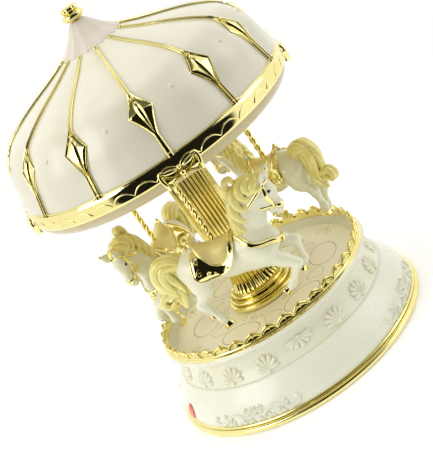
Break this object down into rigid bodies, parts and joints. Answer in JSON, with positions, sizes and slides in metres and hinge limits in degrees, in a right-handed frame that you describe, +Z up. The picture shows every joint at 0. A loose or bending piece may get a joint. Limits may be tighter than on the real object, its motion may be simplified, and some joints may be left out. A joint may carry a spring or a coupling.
{
  "type": "wind-up music box",
  "caption": "Carousel music box: an onion-domed canopy with hanging horses turns on a gilt column over a round base with a wind-up comb movement.",
  "frame": {"origin": "centre of the foot, on the surface that the box stands on", "axes": "+Z up along the column; -Y towards the side with the horse that faces +X"},
  "size_m": [0.1262, 0.1262, 0.175],
  "materials": {
    "cream": "glossy cream moulding",
    "blush_cream": "glossy pinkish cream moulding",
    "deck_cream": "cream moulding with a faint printed scroll pattern",
    "cover_white": "matt off-white moulding",
    "gilt": "bright gold plating on plastic",
    "pearl": "pearl lacquer",
    "ivory": "pearly ivory, with pale yellow mane and tail",
    "steel": "bright steel",
    "brass": "machined brass",
    "zinc": "as-cast zinc",
    "nylon": "natural nylon",
    "red": "glossy red"
  },
  "bodies": {
    "base": {"foot_ring": "gilt", "base_shell": "cream", "bottom_cover": "cover_white", "cover_screws": "steel", "deck": "deck_cream", "deck_bushing": "brass", "thrust_washer": "nylon", "crown_gallery": "gilt", "bedplate": "zinc", "bedplate_screws": "steel", "clutch_spring": "steel", "comb": "steel", "comb_screws": "steel", "governor_bracket": "nylon", "stop_spring": "steel"},
    "carousel": {"spring_barrel": "brass", "mainspring": "steel", "crown_wheel": "brass", "drive_shaft": "steel", "column_base": "gilt", "column_shaft": "gilt", "canopy_ceiling": "cream", "rim_band": "gilt", "rim_ornaments": "gilt", "canopy_dome": "cream", "canopy_cap": "blush_cream", "finial": "gilt", "canopy_ribs": "gilt", "pearl_studs": "pearl", "pole_nuts": "steel", "horse_1": "ivory", "horse_2": "ivory", "horse_3": "ivory", "saddle_1": "gilt", "saddle_2": "gilt", "saddle_3": "gilt", "pole_1": "gilt", "pole_2": "gilt", "pole_3": "gilt"},
    "winder": {"winding_key": "steel", "winding_arbor": "steel"},
    "cylinder_train": {"cylinder": "brass"},
    "governor_train": {"governor": "brass"},
    "air_brake": {"worm_fan": "nylon"},
    "stop": {"stop_button": "red"}
  },
  "joints": [
    {"name": "carousel_spin", "type": "hinge", "parent": "base", "child": "carousel", "pos_m": [0, 0, 0.0292], "axis": [0, 0, 1], "continuous": true},
    {"name": "key_wind", "type": "hinge", "parent": "base", "child": "winder", "pos_m": [0, 0, 0.0064], "axis": [0, 0, 1], "continuous": true},
    {"name": "cylinder_turn", "type": "hinge", "parent": "base", "child": "cylinder_train", "pos_m": [-0.02426, -0.00605, 0.0198], "axis": [0.9703, 0.2419, 0], "continuous": true},
    {"name": "governor_turn", "type": "hinge", "parent": "base", "child": "governor_train", "pos_m": [-0.02628, 0.00206, 0.0198], "axis": [0.9703, 0.2419, 0], "continuous": true},
    {"name": "air_brake_spin", "type": "hinge", "parent": "base", "child": "air_brake", "pos_m": [-0.01829, 0.01013, 0.0198], "axis": [0, 0, 1], "continuous": true},
    {"name": "stop_press", "type": "slide", "parent": "base", "child": "stop", "axis": [0.9703, 0.2419, 0], "range_m": [0, 0.0015], "stiffness_N_per_m": 300, "springref_m": -0.002}
  ],
  "couplings": [
    {"joint": "cylinder_turn", "follows": "carousel_spin", "ratio": -3},
    {"joint": "governor_turn", "follows": "carousel_spin", "ratio": 11.25},
    {"joint": "air_brake_spin", "follows": "carousel_spin", "ratio": -225}
  ]
}
